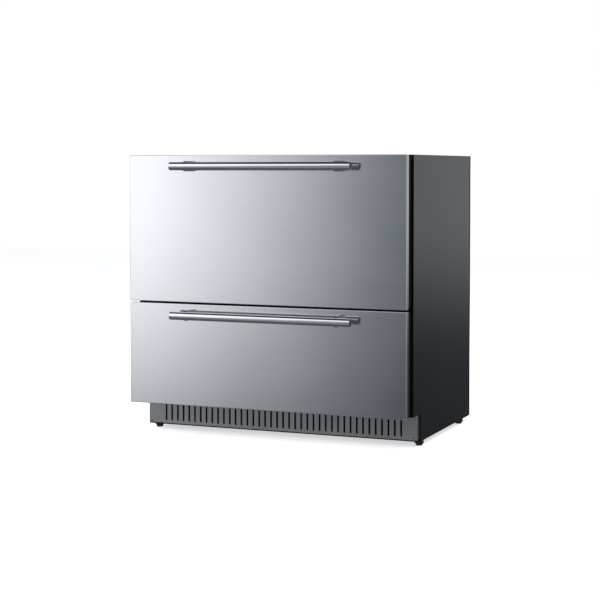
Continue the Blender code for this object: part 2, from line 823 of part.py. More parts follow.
def smooth_route(points, steps):
    """Points along a Catmull-Rom curve through the given points."""
    ends = [points[0] * 2 - points[1], *points, points[-1] * 2 - points[-2]]
    route = []
    for a, b, c, d in zip(ends, ends[1:], ends[2:], ends[3:]):
        for step in range(steps):
            t = step / steps
            route.append(
                0.5
                * (
                    2 * b
                    + (c - a) * t
                    + (2 * a - 5 * b + 4 * c - d) * t**2
                    + (3 * b - a - 3 * c + d) * t**3
                )
            )
    return route + [points[-1]]


def discharge_line(cabinet):
    """Copper tube from the compressor's side, along the front of the machine space, to the condenser."""
    height = 0.105
    wall = COMPRESSOR_X - COMPRESSOR_RADIUS
    corners = [
        (wall - 0.001, COMPRESSOR_DEPTH, height),
        (wall - 0.030, COMPRESSOR_DEPTH - 0.010, height),
        (wall - 0.060, 0.460, height),
        (0.0, 0.450, height),
        (-0.220, 0.450, height),
        (-0.265, 0.465, height),
        (-0.304, 0.469, height),
    ]
    points = smooth_route([Vector((x, at_depth(d), z)) for x, d, z in corners], 5)
    curve = bpy.data.curves.new("discharge_line", "CURVE")
    curve.dimensions = "3D"
    curve.bevel_depth = DISCHARGE_RADIUS
    curve.bevel_resolution = 2
    curve.use_fill_caps = True
    spline = curve.splines.new("POLY")
    spline.points.add(len(points) - 1)
    for point, place in zip(spline.points, points):
        point.co = (*place, 1.0)
    add_object("discharge_line", curve, cabinet, "copper")


def rear_cover(cabinet):
    """Vented sheet over the machine space, and the gland that the mains lead passes through."""
    half = HALF_WIDTH - SHELL - GAP
    columns = slotted_edges(-half, half, 16, 0.044, 0.022)
    rows = [CABINET_BOTTOM + SHELL + GAP, 0.070, 0.130, 0.150, 0.210, MACHINE_TOP]
    depths = (DEPTH - GAP - SHELL, DEPTH - GAP)

    def is_slot(column, row):
        return row in (1, 3) and column % 2 == 1

    cover = window_plate("rear_cover", columns, rows, depths, is_slot, cabinet, "zinc_steel")
    gland_radius = 0.010
    place = (-0.405, at_depth(DEPTH - 0.010), 0.250)
    hole_mesh = rod_mesh("gland_hole", gland_radius + GAP, 0.030, 24)
    combine(cover, cutter("gland_hole", hole_mesh, cabinet, place, ALONG_Y), "DIFFERENCE")
    bore = 0.0045
    profile = [
        (bore, -0.0097),
        (gland_radius, -0.0097),
        (gland_radius, 0.010),
        (bore, 0.010),
        (bore, -0.0097),
    ]
    turned("cord_gland", profile, 24, cabinet, "trim_black", place, ALONG_Y)


# ---------------------------------------------------------------- controls


def controls(cabinet):
    """Thermostat housing with a display and three push-buttons, and the lamp behind it."""
    front, back = (at_depth(depth) for depth in CONTROL_DEPTHS)
    low, high = CONTROL_HEIGHTS
    housing = block(
        "control_housing",
        (-CONTROL_HALF_WIDTH, front, low),
        (CONTROL_HALF_WIDTH, back, high),
        cabinet,
        "trim_black",
    )
    middle = (low + high) / 2
    for name, x in BUTTON_X.items():
        well_mesh = rod_mesh(name + "_well", BUTTON_RADIUS + GAP, 0.020, 24)
        place = (x, front, middle)
        combine(housing, cutter(name + "_well", well_mesh, cabinet, place, ALONG_Y), "DIFFERENCE")
        centre = (x, front - BUTTON_PROUD + BUTTON_LENGTH / 2, middle)
        body = make_body(name + "_body", centre)
        half = BUTTON_LENGTH / 2
        profile = [
            (0.0, -half),
            (BUTTON_RADIUS, -half),
            (BUTTON_RADIUS, half - 0.0006),
            (BUTTON_RADIUS - 0.0006, half),
            (0.0, half),
        ]
        turned(name, profile, 20, body, "button_plastic", centre, ALONG_Y)
    block(
        "control_display",
        (-0.060, front - GAP - 0.0012, middle - 0.009),
        (0.020, front - GAP, middle + 0.009),
        cabinet,
        "display_glass",
    )
    block(
        "led_lamp",
        (-0.150, at_depth(0.140), CAVITY_CEILING - GAP - 0.008),
        (0.150, at_depth(0.160), CAVITY_CEILING - GAP),
        cabinet,
        "lamp_lens",
    )


def main():
    clear_scene()
    cabinet = make_body("cabinet")
    side_panels(cabinet)
    outer_sheets(cabinet)
    liner_and_foam(cabinet)
    front_frame(cabinet)
    kick_grille(cabinet)
    feet()
    for name, sizes in DRAWERS.items():
        drawer = make_body(name + "_drawer", (0.0, at_depth(0.0), sizes["bar"]))
        slide_middle = make_body(name + "_slide_middle", (0.0, at_depth(0.0), sizes["slide"]))
        drawer_front(name, sizes, drawer)
        drawer_handle(name, sizes, drawer)
        drawer_tub(name, sizes, drawer)
        drawer_slides(name, sizes, cabinet, slide_middle, drawer)
    fans(cabinet)
    coils(cabinet)
    evaporator_cover(cabinet)
    compressor(cabinet)
    discharge_line(cabinet)
    rear_cover(cabinet)
    controls(cabinet)


main()
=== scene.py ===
"""Looks of the two-drawer under-counter refrigerator, built round its CAD frame."""

import json
import math

import bmesh
import bpy
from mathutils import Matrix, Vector

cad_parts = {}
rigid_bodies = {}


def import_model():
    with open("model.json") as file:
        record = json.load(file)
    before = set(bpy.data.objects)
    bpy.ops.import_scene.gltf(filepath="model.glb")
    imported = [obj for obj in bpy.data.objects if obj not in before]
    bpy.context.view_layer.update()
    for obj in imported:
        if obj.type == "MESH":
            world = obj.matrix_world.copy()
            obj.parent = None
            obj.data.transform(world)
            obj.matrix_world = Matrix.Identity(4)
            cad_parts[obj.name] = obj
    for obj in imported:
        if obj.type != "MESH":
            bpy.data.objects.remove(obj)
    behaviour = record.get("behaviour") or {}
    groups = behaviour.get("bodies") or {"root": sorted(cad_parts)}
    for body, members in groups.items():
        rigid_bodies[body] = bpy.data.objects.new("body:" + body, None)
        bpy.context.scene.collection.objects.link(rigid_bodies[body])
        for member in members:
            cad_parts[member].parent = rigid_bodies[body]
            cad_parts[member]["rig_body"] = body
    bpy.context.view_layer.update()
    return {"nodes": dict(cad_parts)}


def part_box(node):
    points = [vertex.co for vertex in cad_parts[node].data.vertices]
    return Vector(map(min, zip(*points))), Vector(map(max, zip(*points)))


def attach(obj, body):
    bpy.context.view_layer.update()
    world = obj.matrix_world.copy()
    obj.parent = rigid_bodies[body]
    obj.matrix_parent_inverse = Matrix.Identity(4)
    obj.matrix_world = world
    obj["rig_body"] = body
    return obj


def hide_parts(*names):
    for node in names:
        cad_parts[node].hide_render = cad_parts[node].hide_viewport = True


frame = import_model()
NODES = frame["nodes"]
AXES = {"X": 0, "Y": 1, "Z": 2}
PI = math.pi


# ---------------------------------------------------------------- materials


class Graph:
    """The node tree of one material or world, with short ways to add to it."""

    def __init__(self, tree, coordinates):
        self.tree = tree
        self.place = self.add("ShaderNodeTexCoord").outputs[coordinates]

    def add(self, kind, **values):
        node = self.tree.nodes.new(kind)
        for name, value in values.items():
            setattr(node, name, value)
        return node

    def put(self, socket, value):
        if isinstance(value, bpy.types.NodeSocket):
            self.tree.links.new(value, socket)
        else:
            socket.default_value = value

    def math(self, operation, a, b=0.0):
        node = self.add("ShaderNodeMath", operation=operation)
        self.put(node.inputs[0], a)
        self.put(node.inputs[1], b)
        return node.outputs[0]

    def weighted(self, first, share, second):
        """first and second added, in the parts share and 1 - share."""
        part = self.math("MULTIPLY", first, share)
        return self.math("ADD", part, self.math("MULTIPLY", second, 1 - share))

    def vector(self, operation, a, b):
        node = self.add("ShaderNodeVectorMath", operation=operation)
        self.put(node.inputs[0], a)
        self.put(node.inputs[1], b)
        return node.outputs["Vector"]

    def stretched(self, scale):
        return self.vector("MULTIPLY", self.place, scale)

    def noise(self, scale, detail=3.0):
        node = self.add("ShaderNodeTexNoise")
        self.put(node.inputs["Vector"], self.stretched(scale))
        node.inputs["Scale"].default_value = 1.0
        node.inputs["Detail"].default_value = detail
        return node.outputs[0]

    def cells(self, scale):
        node = self.add("ShaderNodeTexVoronoi")
        self.put(node.inputs["Vector"], self.stretched(scale))
        node.inputs["Scale"].default_value = 1.0
        split = self.add("ShaderNodeSeparateColor")
        self.put(split.inputs[0], node.outputs["Color"])
        return split.outputs[0]

    def spread(self, value, source, target, shape="LINEAR"):
        """value taken from the range source to the range target."""
        node = self.add("ShaderNodeMapRange", interpolation_type=shape)
        for socket, number in zip(node.inputs, (value, *source, *target)):
            self.put(socket, number)
        return node.outputs[0]

    def mix(self, factor, first, second):
        node = self.add("ShaderNodeMix", data_type="RGBA")
        self.put(node.inputs[0], factor)
        self.put(node.inputs[6], (*first, 1.0))
        self.put(node.inputs[7], (*second, 1.0))
        return node.outputs[2]

    def bump(self, height, distance, under=None):
        node = self.add("ShaderNodeBump")
        node.inputs["Strength"].default_value = 1.0
        node.inputs["Distance"].default_value = distance
        self.put(node.inputs["Height"], height)
        if under is not None:
            self.put(node.inputs["Normal"], under)
        return node.outputs[0]


# Each finish: dark and light colour, roughness range, and metallic; then grain, the texture's scale
# per metre along X, Y and Z; grain_depth, its height in metres; cloud, the scale of slow changes;
# wave, the height of the slow unevenness of the surface; cells for a crystal pattern.
FINISHES = {
    "brushed_stainless": dict(
        dark=(0.60, 0.61, 0.63), light=(0.68, 0.69, 0.71), rough=(0.10, 0.15), metallic=1.0,
        grain=(6, 900, 1100), grain_depth=0.000004, cloud=4, wave=0.00005,
        sockets={"Anisotropic": 0.35, "Anisotropic Rotation": 0.25},
    ),
    "polished_stainless": dict(
        dark=(0.60, 0.61, 0.63), light=(0.70, 0.71, 0.73), rough=(0.08, 0.13), metallic=1.0,
        grain=(900, 30, 30), grain_depth=0.000002, cloud=9, wave=0.0,
    ),
    # Darker than the fronts' stainless: the darkening is painted shade from the drawer fronts' overhang.
    "grille_stainless": dict(
        dark=(0.29, 0.30, 0.31), light=(0.36, 0.37, 0.38), rough=(0.26, 0.36), metallic=0.9,
        grain=(8, 800, 900), grain_depth=0.000004, cloud=6, wave=0.00002,
    ),
    "cabinet_black": dict(
        dark=(0.003, 0.003, 0.003), light=(0.005, 0.005, 0.005), rough=(0.13, 0.19),
        grain=(700, 700, 700), grain_depth=0.000012, cloud=5, wave=0.00004,
    ),
    "trim_black": dict(
        dark=(0.002, 0.002, 0.002), light=(0.004, 0.004, 0.004), rough=(0.50, 0.62),
        grain=(900, 900, 900), grain_depth=0.000030, cloud=12, wave=0.0,
        sockets={"Specular IOR Level": 0.10},
    ),
    # Handle posts: a darkened copy of the polished stainless, for painted shade and a painted dark
    # reflection round the posts.
    "post_stainless_painted_shade": dict(
        dark=(0.13, 0.13, 0.14), light=(0.19, 0.19, 0.20), rough=(0.16, 0.22), metallic=1.0,
        grain=(60, 60, 900), grain_depth=0.000002, cloud=30, wave=0.0,
    ),
    "underside_black": dict(
        dark=(0.002, 0.002, 0.002), light=(0.004, 0.004, 0.004), rough=(0.75, 0.90),
        grain=(400, 400, 400), grain_depth=0.000050, cloud=15, wave=0.0,
        sockets={"Specular IOR Level": 0.03},
    ),
    "gasket_rubber": dict(
        dark=(0.003, 0.003, 0.003), light=(0.006, 0.006, 0.006), rough=(0.62, 0.80),
        grain=(500, 500, 500), grain_depth=0.000040, cloud=20, wave=0.0,
        sockets={"Specular IOR Level": 0.12},
    ),
    "foot_plastic": dict(
        dark=(0.008, 0.008, 0.008), light=(0.014, 0.014, 0.014), rough=(0.48, 0.62),
        grain=(900, 900, 900), grain_depth=0.000030, cloud=60, wave=0.0,
    ),
    "zinc_steel": dict(
        dark=(0.55, 0.56, 0.58), light=(0.67, 0.68, 0.69), rough=(0.24, 0.34), metallic=1.0,
        grain=(300, 300, 300), grain_depth=0.000008, cloud=7, wave=0.00005, cells=260,
    ),
    "coil_aluminium": dict(
        dark=(0.62, 0.63, 0.64), light=(0.76, 0.77, 0.78), rough=(0.28, 0.42), metallic=1.0,
        grain=(60, 60, 900), grain_depth=0.000020, cloud=14, wave=0.0,
    ),
    "liner_white": dict(
        dark=(0.74, 0.75, 0.75), light=(0.82, 0.83, 0.83), rough=(0.30, 0.40),
        grain=(450, 450, 450), grain_depth=0.000030, cloud=5, wave=0.00006,
    ),
    "foam_cream": dict(
        dark=(0.55, 0.46, 0.26), light=(0.78, 0.70, 0.48), rough=(0.80, 0.95),
        grain=(350, 350, 350), grain_depth=0.000300, cloud=18, wave=0.0004,
    ),
    "tub_grey": dict(
        dark=(0.44, 0.45, 0.47), light=(0.52, 0.53, 0.55), rough=(0.38, 0.50),
        grain=(500, 500, 500), grain_depth=0.000040, cloud=6, wave=0.00005,
    ),
    "compressor_black": dict(
        dark=(0.010, 0.010, 0.011), light=(0.026, 0.026, 0.028), rough=(0.34, 0.52),
        grain=(260, 260, 260), grain_depth=0.000060, cloud=16, wave=0.0,
    ),
    "copper": dict(
        dark=(0.42, 0.17, 0.09), light=(0.80, 0.42, 0.27), rough=(0.20, 0.42), metallic=1.0,
        grain=(140, 140, 140), grain_depth=0.000010, cloud=22, wave=0.0,
    ),
    "fan_plastic": dict(
        dark=(0.030, 0.030, 0.032), light=(0.052, 0.052, 0.056), rough=(0.40, 0.52),
        grain=(500, 500, 500), grain_depth=0.000030, cloud=30, wave=0.0,
    ),
    "display_glass": dict(
        dark=(0.004, 0.004, 0.005), light=(0.008, 0.008, 0.010), rough=(0.05, 0.10),
        grain=(200, 200, 200), grain_depth=0.000002, cloud=40, wave=0.0,
        sockets={"Coat Weight": 0.6},
    ),
    "button_plastic": dict(
        dark=(0.24, 0.25, 0.26), light=(0.33, 0.34, 0.35), rough=(0.36, 0.48),
        grain=(900, 900, 900), grain_depth=0.000020, cloud=90, wave=0.0,
    ),
    "lamp_lens": dict(
        dark=(0.84, 0.85, 0.86), light=(0.92, 0.93, 0.94), rough=(0.22, 0.34),
        grain=(500, 20, 20), grain_depth=0.000200, cloud=20, wave=0.0,
        sockets={"Emission Color": (0.95, 0.97, 1.0, 1.0), "Emission Strength": 0.6},
    ),
    "digit_light": dict(
        dark=(0.50, 0.75, 0.85), light=(0.70, 0.90, 1.00), rough=(0.30, 0.40),
        grain=(900, 900, 900), grain_depth=0.000005, cloud=200, wave=0.0,
        sockets={"Emission Color": (0.45, 0.85, 1.0, 1.0), "Emission Strength": 2.0},
    ),
}


GRAIN_SHARE = 0.45  # of a finish's blend; slow changes make up the rest
CRYSTAL_SHARE = 0.5  # of the blend, where a finish has crystals
MIDDLE = (0.30, 0.70)  # the part of a noise's range that holds nearly all of its values
WAVE_SCALE = 2.2  # per metre


def material(name):
    """The finish of that name, made once."""
    made = bpy.data.materials.get("look_" + name)
    if made:
        return made
    finish = FINISHES[name]
    made = bpy.data.materials.new("look_" + name)
    made.use_nodes = True
    graph = Graph(made.node_tree, "Object")
    shader = made.node_tree.nodes["Principled BSDF"]
    grain = graph.noise(finish["grain"], 2.0)
    cloud = graph.noise((finish["cloud"],) * 3, 4.0)
    blend = graph.weighted(grain, GRAIN_SHARE, cloud)
    if "cells" in finish:
        blend = graph.weighted(graph.cells((finish["cells"],) * 3), CRYSTAL_SHARE, blend)
    share = graph.spread(blend, MIDDLE, (0.0, 1.0))
    graph.put(shader.inputs["Base Color"], graph.mix(share, finish["dark"], finish["light"]))
    graph.put(shader.inputs["Roughness"], graph.spread(blend, MIDDLE, finish["rough"]))
    shader.inputs["Metallic"].default_value = finish.get("metallic", 0.0)
    for socket, value in finish.get("sockets", {}).items():
        shader.inputs[socket].default_value = value
    normal = None
    if finish["wave"]:
        normal = graph.bump(graph.noise((WAVE_SCALE,) * 3, 1.0), finish["wave"])
    graph.put(shader.inputs["Normal"], graph.bump(grain, finish["grain_depth"], normal))
    return made


# ---------------------------------------------------------------- mesh tools


def ring(plane, low, high, level, inset=0.0, corner=0.001, steps=4):
    """Points round a rounded rectangle between two corners, moved inwards by an inset."""
    a, b = AXES[plane[0]], AXES[plane[1]]
    radius = max(corner - inset, 0.0002)
    left, right = low[a] + inset + radius, high[a] - inset - radius
    bottom, top = low[b] + inset + radius, high[b] - inset - radius
    points = []
    for index, (x, z) in enumerate(((right, top), (left, top), (left, bottom), (right, bottom))):
        for step in range(steps + 1):
            angle = PI / 2 * (index + step / steps)
            point = Vector()
            point[a] = x + radius * math.cos(angle)
            point[b] = z + radius * math.sin(angle)
            point[3 - a - b] = level
            points.append(point)
    return points


def loft(rings, loop=False, bm=None):
    """Joins rings of points. loop joins the last to the first; otherwise both ends are closed."""
    bm = bm or bmesh.new()
    made = [[bm.verts.new(point) for point in points] for points in rings]
    pairs = list(zip(made, made[1:]))
    if loop:
        pairs.append((made[-1], made[0]))
    for first, second in pairs:
        for i in range(len(first)):
            j = (i + 1) % len(first)
            bm.faces.new((first[i], first[j], second[j], second[i]))
    if not loop:
        bm.faces.new(made[0][::-1])
        bm.faces.new(made[-1])
    return bm


def lathe(axis, centre, profile, steps=40, bm=None):
    """(along, radius) points turned round an axis through a centre."""
    c = AXES[axis]
    a, b = [index for index in range(3) if index != c]
    rings = []
    for along, radius in profile:
        points = []
        for step in range(steps):
            point = Vector(centre)
            point[c] += along
            point[a] += radius * math.cos(2 * PI * step / steps)
            point[b] += radius * math.sin(2 * PI * step / steps)
            points.append(point)
        rings.append(points)
    return loft(rings, bm=bm)


def slab(plane, low, high, edge, corner=None, bm=None):
    """A block with its outline in a plane, with rounded corners and rounded front and back edges."""
    c = 3 - AXES[plane[0]] - AXES[plane[1]]
    corner = corner or edge
    steps = 3
    rings = []
    for level, way in ((low[c], 1), (high[c], -1)):
        turns = range(steps + 1) if way > 0 else range(steps, -1, -1)
        for step in turns:
            angle = PI / 2 * step / steps
            inset = edge * (1 - math.sin(angle))
            rings.append(ring(plane, low, high, level + way * edge * (1 - math.cos(angle)), inset, corner))
    return loft(rings, bm=bm)


def thicken(bm, shift):
    """Gives an open sheet its thickness."""
    bmesh.ops.remove_doubles(bm, verts=bm.verts, dist=1e-6)
    grown = bmesh.ops.extrude_face_region(bm, geom=list(bm.faces))["geom"]
    moved = [item for item in grown if isinstance(item, bmesh.types.BMVert)]
    bmesh.ops.translate(bm, verts=moved, vec=shift)


def piece(name, bm, slot, like, replaces=(), finish=None, sharp=32):
    """Makes the mesh a piece on the body of the CAD node that it goes with."""
    bmesh.ops.recalc_face_normals(bm, faces=bm.faces)
    mesh = bpy.data.meshes.new(name)
    bm.to_mesh(mesh)
    bm.free()
    mesh.shade_smooth()
    mesh.set_sharp_from_angle(angle=math.radians(sharp))
    mesh.materials.append(material(finish or slot))
    made = bpy.data.objects.new(name, mesh)
    bpy.context.scene.collection.objects.link(made)
    weigh(made)
    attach(made, NODES[like]["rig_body"])
    if replaces:
        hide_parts(*replaces)
    return made


def weigh(item):
    modifier = item.modifiers.new("weighted", "WEIGHTED_NORMAL")
    modifier.keep_sharp = True


def add_bevel(item, width):
    ease = item.modifiers.new("ease", "BEVEL")
    ease.width = width
    ease.segments = 2
    ease.limit_method = "ANGLE"
    ease.angle_limit = math.radians(50)


def ease_edges(item, width):
    """Rounds a piece's sharp edges, ahead of the modifier that weighs its normals."""
    add_bevel(item, width)
    item.modifiers.move(len(item.modifiers) - 1, 0)


def carry(node, slot, bevel, finish=None):
    """A CAD node kept as it is, with its flat faces made whole, its edges eased and a finish."""
    item = NODES[node]
    item.data.materials.clear()
    item.data.materials.append(material(finish or slot))
    if bevel:
        weld = item.modifiers.new("weld", "WELD")
        weld.merge_threshold = 0.000001
        flat = item.modifiers.new("flat", "DECIMATE")
        flat.decimate_type = "DISSOLVE"
        flat.angle_limit = math.radians(0.5)
        add_bevel(item, bevel)
        weigh(item)


def screws(name, places, axis, outward, radius, height, like, slot="zinc_steel"):
    """Pan-head screws with a round recess. outward is +1 or -1 along the axis."""
    bm = bmesh.new()
    for place in places:
        profile = [
            (0.0, radius), (height * 0.45, radius), (height * 0.80, radius * 0.86),
            (height, radius * 0.62), (height, radius * 0.44), (height * 0.35, radius * 0.40),
        ]
        lathe(axis, place, [(outward * along, r) for along, r in profile], 18, bm)
    return piece(name, bm, slot, like)


# ---------------------------------------------------------------- drawers


FOLD = 0.0020  # outside radius of the skin's folded edges
WALL = 0.0012  # the skin's thickness
HEM = 0.0036  # how far the skin's back edge turns in
TUB_WALL = 0.003
RIBS = 9  # on each tub's floor
RIB_PITCH = 0.078
RIB_HALF_WIDTH = 0.004
RIB_MARGIN = 0.045  # from the tub's front and back


def drawer_skin(drawer):
    """Stainless skin: rounded folds at the front, and a hem turned in at the back."""
    node = drawer + "_front_skin"
    low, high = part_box(node)
    face, back = low.y, high.y
    path = []
    for step in range(7):
        angle = PI / 2 * step / 6
        path.append((FOLD * (1 - math.sin(angle)), face + FOLD * (1 - math.cos(angle))))
    path += [(0.0, back - 0.0005), (0.0002, back - 0.0001), (0.0005, back), (HEM, back)]
    path += [(HEM, back - WALL), (WALL, back - WALL), (WALL, face + WALL)]
    rings = [ring("XZ", low, high, level, inset, 0.0022) for inset, level in path]
    piece(drawer + "_folded_skin", loft(rings), "brushed_stainless", node, [node])


def drawer_panel(drawer):
    """Moulded panel behind the skin, with a step all round that the gasket is pushed into."""
    node = drawer + "_inner_panel"
    low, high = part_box(node)
    front, back = low.y, high.y
    path = [
        (0.0006, front), (0.0, front + 0.0006), (0.0, back - 0.0040), (0.0010, back - 0.0030),
        (0.0026, back - 0.0030), (0.0032, back - 0.0006), (0.0040, back), (0.0215, back),
        (0.0240, back - 0.0040), (0.0300, back - 0.0060),
    ]
    rings = [ring("XZ", low, high, level, inset, 0.004) for inset, level in path]
    piece(drawer + "_moulded_panel", loft(rings), "trim_black", node, [node])


def drawer_gasket(drawer):
    """Magnetic gasket: a foot, a folded bellows and the magnet's bulb, mitred at the corners."""
    node = drawer + "_gasket"
    low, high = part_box(node)
    half = [
        (0.0085, 0.0), (0.0062, 0.0022), (0.0042, 0.0032), (0.0028, 0.0046), (0.0046, 0.0060),
        (0.0028, 0.0076), (0.0058, 0.0088), (0.0066, 0.0100), (0.0060, 0.0118), (0.0048, 0.0125),
    ]
    section = [(0.0085 - out, up) for out, up in half] + [(0.0085 + out, up) for out, up in half[::-1]]
    depth = high.y - low.y
    rings = []
    for inset, up in section:
        rings.append(ring("XZ", low, high, low.y + min(up, depth), inset, 0.010, 5))
    piece(drawer + "_bellows_gasket", loft(rings, loop=True), "gasket_rubber", node, [node], sharp=50)


def drawer_bar(drawer):
    """Round bar with an eased rim, and a slightly domed dark plug in each end."""
    node = drawer + "_handle_bar"
    low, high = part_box(node)
    centre = (low + high) / 2
    half, radius = (high.x - low.x) / 2, (high.z - low.z) / 2
    rim = [
        (0.0024, 0.0030), (0.0024, 0.0104), (0.0002, 0.0107), (0.0, 0.0112), (0.0, 0.0117),
        (0.0002, 0.0121), (0.0006, 0.01242), (0.0012, radius),
    ]
    profile = [(along - half, r) for along, r in rim] + [(half - along, r) for along, r in rim[::-1]]
    piece(drawer + "_bar", lathe("X", centre, profile, 64), "polished_stainless", node, [node])
    plug = [(0.0004, 0.0030), (0.0006, 0.0080), (0.0009, 0.0094), (0.0014, 0.0099), (0.0023, 0.0099)]
    bm = bmesh.new()
    for side in (-1, 1):
        lathe("X", centre, [(side * (half - along), r) for along, r in plug], 48, bm)
    piece(drawer + "_bar_plugs", bm, "trim_black", node, finish="compressor_black")


def drawer_post(drawer, end):
    """Round post with a base ring, and a saddle at its front that the bar sits in."""
    node = f"{drawer}_handle_post_{end}"
    low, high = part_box(node)
    bar_low, bar_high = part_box(drawer + "_handle_bar")
    bar = (bar_low + bar_high) / 2
    seat = (bar_high.z - bar_low.z) / 2 + 0.0002
    radius = (high.z - low.z) / 2
    centre = (low + high) / 2

    def front(z):
        reach = seat**2 - (z - bar.z) ** 2
        return max(low.y, bar.y + math.sqrt(reach)) if reach > 0 else low.y

    shape = [
        (radius - 0.0006, None, 0.0), (radius, None, -0.0006), (radius, None, -0.0030),
        (radius - 0.0006, None, -0.0034), (radius - 0.0006, None, -0.0042), (radius, None, -0.0046),
        (radius, 0.0007, 0.0), (radius - 0.0006, 0.0, 0.0), (radius * 0.85, 0.0, 0.0),
        (radius * 0.65, 0.0, 0.0), (radius * 0.45, 0.0, 0.0), (radius * 0.22, 0.0, 0.0),
    ]
    rings = []
    for r, from_front, from_base in shape:
        points = []
        for step in range(64):
            angle = 2 * PI * step / 64
            x, z = centre.x + r * math.cos(angle), centre.z + r * math.sin(angle)
            y = high.y + from_base if from_front is None else front(z) + from_front
            points.append(Vector((x, y, z)))
        rings.append(points)
    # The post's finish is darkened stainless: painted shade.
    piece(f"{drawer}_post_{end}", loft(rings), "polished_stainless", node, [node], "post_stainless_painted_shade", 40)


def drawer_tub(drawer):
    """Moulded tub: rounded corners, a rolled rim and a stepped floor, with low ribs on it."""
    node = drawer + "_tub"
    low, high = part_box(node)
    wall = TUB_WALL
    path = [(0.020, low.z), (0.006, low.z), (0.002, low.z + 0.0015), (0.0, low.z + 0.006)]
    path += [(0.0, high.z - 0.004), (0.0008, high.z - 0.0012), (0.0025, high.z), (0.0050, high.z)]
    path += [(0.0066, high.z - 0.0012), (0.0072, high.z - 0.0035), (0.0066, high.z - 0.0058)]
    path += [(0.0046, high.z - 0.0070), (wall, high.z - 0.0090), (wall + 0.001, low.z + 0.016)]
    path += [(wall + 0.004, low.z + 0.008), (wall + 0.009, low.z + 0.0045), (0.030, low.z + wall)]
    rings = [ring("XY", low, high, level, inset, 0.016, 6) for inset, level in path]
    piece(drawer + "_moulded_tub", loft(rings), "tub_grey", node, [node])
    bm = bmesh.new()
    floor = low.z + wall
    for index in range(RIBS):
        x = (index - (RIBS - 1) / 2) * RIB_PITCH
        rib_low = Vector((x - RIB_HALF_WIDTH, low.y + RIB_MARGIN, floor - 0.0010))
        rib_high = Vector((x + RIB_HALF_WIDTH, high.y - RIB_MARGIN, floor + 0.0034))
        slab("XY", rib_low, rib_high, 0.0012, 0.0038, bm)
    piece(drawer + "_tub_ribs", bm, "tub_grey", node)


# ---------------------------------------------------------------- cabinet


NOTCH_BACK = -0.16825  # toe notch in each side panel
NOTCH_TOP = 0.098
EDGING = 0.010  # width of the dull strip down each side's rear edge


def side_panel(node):
    """Painted side sheet with its toe notch, and the dull edging down its rear edge."""
    low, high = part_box(node)
    rear = high.y - EDGING
    outline = [
        (low.y, NOTCH_TOP), (NOTCH_BACK, NOTCH_TOP), (NOTCH_BACK, low.z),
        (rear, low.z), (rear, high.z), (low.y, high.z),
    ]
    sheet = loft([[Vector((x, y, z)) for y, z in outline] for x in (low.x, high.x)])
    ease_edges(piece(node + "_sheet", sheet, "cabinet_black", node, [node]), 0.0005)
    edging = slab("YZ", Vector((low.x, rear + 0.0002, low.z)), high, 0.0004)
    piece(node + "_edging", edging, "cabinet_black", node, finish="underside_black")


def strip(bm, lines, heights, level):
    """Quads between grid lines in X and Z, in an upright plane."""
    grid = [[bm.verts.new((x, level, z)) for z in heights] for x in lines]
    for a, b in zip(grid, grid[1:]):
        for j in range(len(heights) - 1):
            bm.faces.new((a[j], b[j], b[j + 1], a[j + 1]))


def slot_cells(bm, places, pitch, half_slot, slot_low, slot_high, bottom, top):
    """Flat cells side by side, each with an upright slot between two end centres."""
    half_pitch = pitch / 2
    rise, fall = math.atan2(top - slot_high, half_pitch), math.atan2(slot_low - bottom, half_pitch)
    turns = [0, rise / 2, rise, (rise + PI / 2) / 2, PI / 2]
    turns += [PI - angle for angle in turns[3::-1]]
    drops = [0, fall / 2, fall, (fall + PI / 2) / 2, PI / 2]
    drops += [PI - angle for angle in drops[3::-1]]

    def cell_point(angle, reach):
        """Where a ray from a slot's end centre meets the edge of its cell."""
        along, across = math.cos(angle), math.sin(angle)
        size = min(
            half_pitch / abs(along) if abs(along) > 1e-9 else 1e9,
            reach / across if across > 1e-9 else 1e9,
        )
        return along * size, across * size

    for x in places:
        inner, outer = [], []
        for angle in turns:
            dx, dz = cell_point(angle, top - slot_high)
            inner.append((x + half_slot * math.cos(angle), slot_high + half_slot * math.sin(angle)))
            outer.append((x + dx, slot_high + dz))
        for angle in drops:
            dx, dz = cell_point(angle, slot_low - bottom)
            inner.append((x - half_slot * math.cos(angle), slot_low - half_slot * math.sin(angle)))
            outer.append((x - dx, slot_low - dz))
        rings = [[bm.verts.new((px, 0.0, pz)) for px, pz in line] for line in (inner, outer)]
        for i in range(len(inner)):
            j = (i + 1) % len(inner)
            bm.faces.new((rings[0][i], rings[0][j], rings[1][j], rings[1][i]))
    return [
        bottom, slot_low - math.tan(fall / 2) * half_pitch, slot_low, slot_high,
        slot_high + math.tan(rise / 2) * half_pitch, top,
    ]


GRILLE_SLOTS = 40
GRILLE_PITCH = 0.020
GRILLE_HALF_SLOT = 0.0030
GRILLE_SHIFT = 0.006  # the row of slots lies this far to the right of the middle
GRILLE_SLOT_BOTTOM = 0.0305
GRILLE_SLOT_TOP = 0.0825
GRILLE_SHEET = 0.0015
GRILLE_BEND = 0.0025  # radius of the bends at the ends
RAIL_HEIGHT = 0.0037  # the black rail that the grille stands on
RAIL_END_GAP = 0.0008
RAIL_SET_BACK = 0.0010


